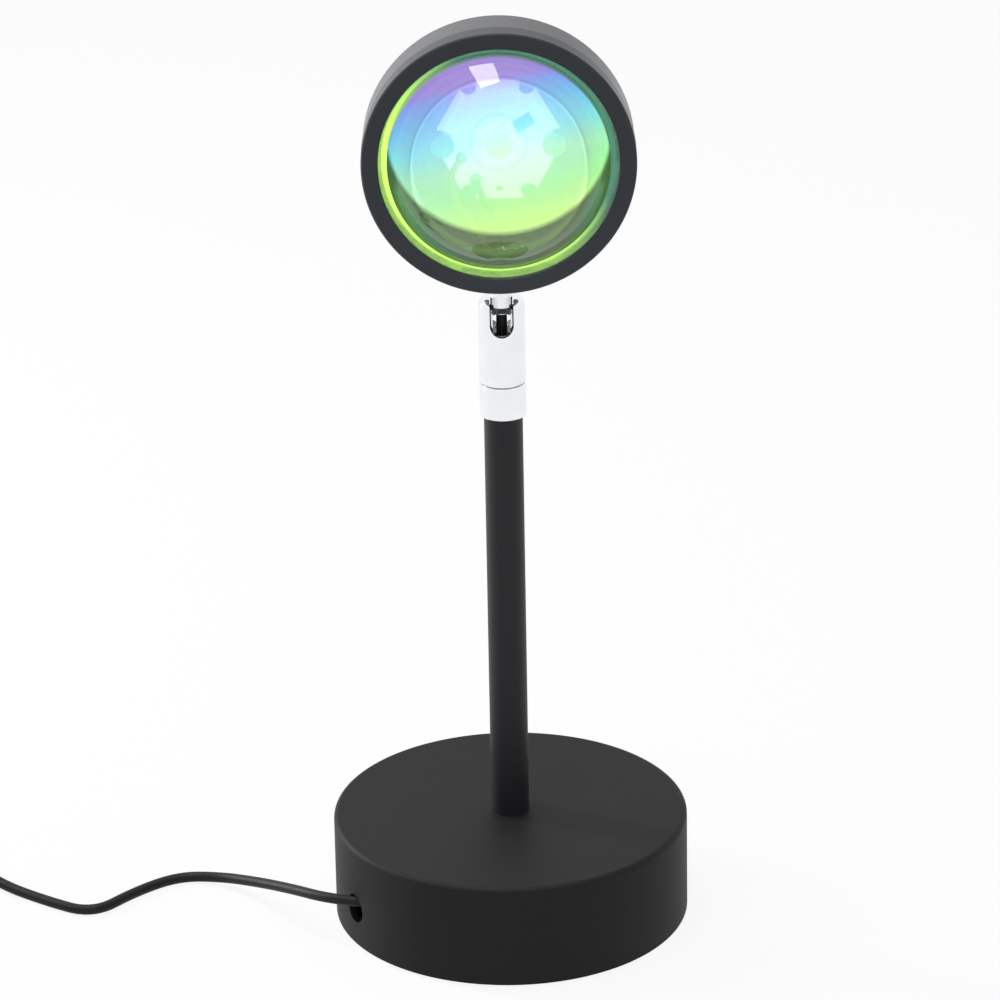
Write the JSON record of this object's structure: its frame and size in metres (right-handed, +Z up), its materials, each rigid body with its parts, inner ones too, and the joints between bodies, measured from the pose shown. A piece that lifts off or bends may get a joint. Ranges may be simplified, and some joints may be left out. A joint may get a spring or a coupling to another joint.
{
  "type": "sunset projection lamp",
  "caption": "Desk projection lamp: weighted round foot, slim pole, turning and tilting flat round head with a domed lens over a colour filter, corded with inline switch and plug.",
  "frame": {"origin": "centre of the foot's underside, on the table", "axes": "+Z up along the pole, -Y the way the lens looks, +X to the right as seen from the front"},
  "size_m": [0.2835, 0.1, 0.265],
  "materials": {
    "foot_black": "fine textured matt black",
    "cover_black": "matt black sheet",
    "pole_black": "satin black",
    "iron": "as cast",
    "pad": "matt foam rubber",
    "steel": "zinc plated",
    "nylon": "natural nylon",
    "chrome": "polished",
    "brass": "turned",
    "housing_black": "fine matt dark grey",
    "bezel_black": "satin charcoal",
    "lens_clear": "clear polished",
    "filter_glass": "colour-shifting coated glass",
    "gasket": "clear silicone",
    "silicone": "matt",
    "board": "white solder mask",
    "emitter": "yellow phosphor",
    "resistor": "glazed",
    "leads": "orange sleeve and black sleeve",
    "cord": "matt black jacket",
    "tie": "black strap",
    "switch_black": "fine matt black",
    "button_black": "black",
    "contacts": "moulded contact block",
    "plug_black": "moulded black",
    "plug_metal": "nickel plated",
    "plug_tongue": "white moulded"
  },
  "bodies": {
    "stand": {"base_shell": "foot_black", "counterweight": "iron", "bottom_cover": "cover_black", "foot_pad": "pad", "cover_screws": "steel", "cord_clamp": "nylon", "clamp_screws": "steel", "pole_tube": "pole_black", "pole_nipple": "steel", "pole_washer": "steel", "pole_nut": "steel", "inner_cord": "cord", "lower_collar": "chrome", "spring_washer": "steel", "cord_run": "cord", "cord_link": "cord", "cord_coil": "cord", "cord_tail": "cord", "cord_tie": "tie", "switch_base": "switch_black", "switch_cover": "switch_black", "switch_contacts": "contacts", "plug_body": "plug_black", "plug_shell": "plug_metal", "plug_insert": "plug_tongue"},
    "swivel": {"swivel_bolt": "steel", "swivel_washer": "nylon", "sleeve_plug": "brass", "swivel_sleeve": "chrome", "seat_spring": "steel", "ball_seat": "nylon"},
    "head": {"ball_stem": "chrome", "stem_washer": "steel", "stem_nut": "steel", "head_housing": "housing_black", "front_bezel": "bezel_black", "dome_lens": "lens_clear", "lens_gasket": "gasket", "colour_filter": "filter_glass", "thermal_pad": "silicone", "led_board": "board", "led_emitter": "emitter", "chip_resistor": "resistor", "board_screws": "steel", "lead_wires": "leads", "joint_cord": "cord"},
    "button": {"switch_button": "button_black"}
  },
  "joints": [
    {"name": "swivel_turn", "type": "hinge", "parent": "stand", "child": "swivel", "pos_m": [0, 0, 0.1612], "axis": [0, 0, 1], "range_deg": [-175, 175]},
    {"name": "head_tilt", "type": "hinge", "parent": "swivel", "child": "head", "pos_m": [0, 0, 0.1796], "axis": [1, 0, 0], "range_deg": [-90, 90], "deforming": ["joint_cord"]},
    {"name": "button_press", "type": "slide", "parent": "stand", "child": "button", "axis": [0, 0, -1], "range_m": [0, 0.0012], "stiffness_N_per_m": 700, "springref_m": -0.0008}
  ]
}
